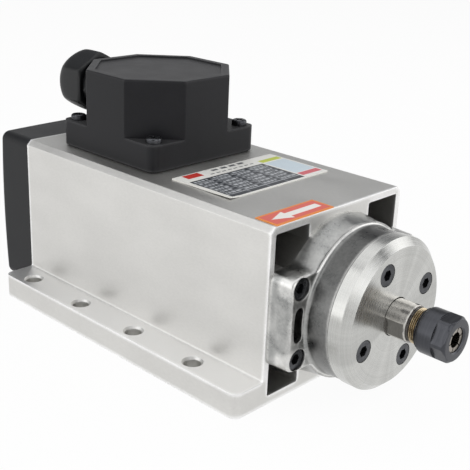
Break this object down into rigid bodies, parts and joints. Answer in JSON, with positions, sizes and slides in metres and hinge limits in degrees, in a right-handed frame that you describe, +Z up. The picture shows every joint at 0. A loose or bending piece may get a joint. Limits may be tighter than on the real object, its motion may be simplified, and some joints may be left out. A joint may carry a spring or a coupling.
{
  "type": "motor spindle",
  "caption": "Square air-cooled motor spindle: extruded body on drilled feet, cast nose with collet nut, fan cover behind and a plastic terminal box with cable gland on top.",
  "frame": {"origin": "underside of the feet, at the centre of the grid of mounting holes", "axes": "+X along the shaft towards the collet nose, +Y to the motor's left when looking from the rear, +Z up from the mounting face"},
  "size_m": [0.2339, 0.11, 0.11],
  "materials": {
    "extruded_aluminium": "bead-blasted, matt, anodised clear",
    "cast_aluminium": "die-cast, mottled satin",
    "turned_aluminium": "bright turned",
    "end_bell_aluminium": "die-cast, satin",
    "turned_steel": "ground and turned, bright",
    "bearing_steel": "ground and polished",
    "ball_steel": "mirror polished",
    "cage_polyamide": "glass-filled polyamide",
    "seal_steel": "turned",
    "screw_steel": "zinc plated",
    "black_screw_steel": "black zinc",
    "lamination_steel": "oiled lamination stack",
    "cage_aluminium": "die-cast in the rotor",
    "winding_copper": "varnished copper wire",
    "spring_steel": "rolled spring steel",
    "fan_plastic": "moulded polyamide",
    "cover_plastic": "satin moulded, fine grain",
    "box_plastic": "satin moulded",
    "gland_plastic": "satin moulded polyamide",
    "gasket_rubber": "matt",
    "insert_rubber": "matt",
    "bush_rubber": "matt",
    "lead_insulation": "smooth silicone insulation",
    "terminal_plastic": "moulded",
    "terminal_brass": "nickel-brass screws",
    "collet_steel": "ground, bright",
    "black_oxide_steel": "black oxide, oiled",
    "plate_foil": "printed white foil",
    "label_film": "printed red-orange film"
  },
  "bodies": {
    "housing": {"body_extrusion": "extruded_aluminium", "front_bearing_housing": "cast_aluminium", "front_bearing_cover": "turned_aluminium", "front_cover_screws": "screw_steel", "front_housing_screws": "screw_steel", "stator_core": "lamination_steel", "stator_winding": "winding_copper", "rear_end_bell": "end_bell_aluminium", "rear_end_bell_screws": "screw_steel", "bearing_preload_spring": "spring_steel", "rear_fan_cover": "cover_plastic", "fan_cover_screws": "black_screw_steel", "junction_box_gasket": "gasket_rubber", "junction_box_cover": "box_plastic", "junction_box_screws": "black_screw_steel", "terminal_block": "terminal_plastic", "terminal_screws": "terminal_brass", "lead_bush": "bush_rubber", "motor_leads": "lead_insulation", "gland_body": "gland_plastic", "rating_plate": "plate_foil", "direction_label": "label_film", "front_bearing_1_outer_ring": "bearing_steel", "front_bearing_2_outer_ring": "bearing_steel", "rear_bearing_outer_ring": "bearing_steel"},
    "rotor": {"rotor_shaft": "turned_steel", "rotor_core": "lamination_steel", "rotor_cage": "cage_aluminium", "nose_seal_ring": "seal_steel", "front_bearing_1_inner_ring": "bearing_steel", "front_bearing_2_inner_ring": "bearing_steel", "rear_bearing_inner_ring": "bearing_steel", "cooling_fan": "fan_plastic", "fan_retaining_ring": "spring_steel"},
    "front_balls_1": {"front_bearing_1_balls": "ball_steel", "front_bearing_1_cage": "cage_polyamide"},
    "front_balls_2": {"front_bearing_2_balls": "ball_steel", "front_bearing_2_cage": "cage_polyamide"},
    "rear_balls": {"rear_bearing_balls": "ball_steel", "rear_bearing_cage": "cage_polyamide"},
    "collet": {"collet_er11": "collet_steel"},
    "collet_nut": {"collet_nut": "black_oxide_steel"},
    "gland_insert": {"gland_insert": "insert_rubber"},
    "gland_nut": {"gland_nut": "gland_plastic"}
  },
  "joints": [
    {"name": "rotor_spin", "type": "hinge", "parent": "housing", "child": "rotor", "pos_m": [0, 0, 0.0365], "axis": [1, 0, 0], "continuous": true},
    {"name": "front_balls_1_orbit", "type": "hinge", "parent": "housing", "child": "front_balls_1", "pos_m": [0.0909, 0, 0.0365], "axis": [1, 0, 0], "continuous": true},
    {"name": "front_balls_2_orbit", "type": "hinge", "parent": "housing", "child": "front_balls_2", "pos_m": [0.0999, 0, 0.0365], "axis": [1, 0, 0], "continuous": true},
    {"name": "rear_balls_orbit", "type": "hinge", "parent": "housing", "child": "rear_balls", "pos_m": [-0.067, 0, 0.0365], "axis": [1, 0, 0], "continuous": true},
    {"name": "collet_draw", "type": "slide", "parent": "rotor", "child": "collet", "axis": [1, 0, 0], "range_m": [0, 0.0075]},
    {"name": "collet_nut_turn", "type": "hinge", "parent": "collet", "child": "collet_nut", "pos_m": [0.131, 0, 0.0365], "axis": [1, 0, 0], "range_deg": [0, 3600]},
    {"name": "gland_insert_slide", "type": "slide", "parent": "housing", "child": "gland_insert", "axis": [-1, 0, 0], "range_m": [-0.003, 0.006]},
    {"name": "gland_nut_turn", "type": "hinge", "parent": "gland_insert", "child": "gland_nut", "pos_m": [-0.072, 0, 0.0954], "axis": [-1, 0, 0], "range_deg": [-720, 1440]}
  ],
  "couplings": [
    {"joint": "front_balls_1_orbit", "follows": "rotor_spin", "ratio": 0.4021},
    {"joint": "front_balls_2_orbit", "follows": "rotor_spin", "ratio": 0.4021},
    {"joint": "rear_balls_orbit", "follows": "rotor_spin", "ratio": 0.3987},
    {"joint": "collet_nut_turn", "follows": "collet_draw", "rad_per_m": 8377.6},
    {"joint": "gland_nut_turn", "follows": "gland_insert_slide", "rad_per_m": 4188.8}
  ]
}
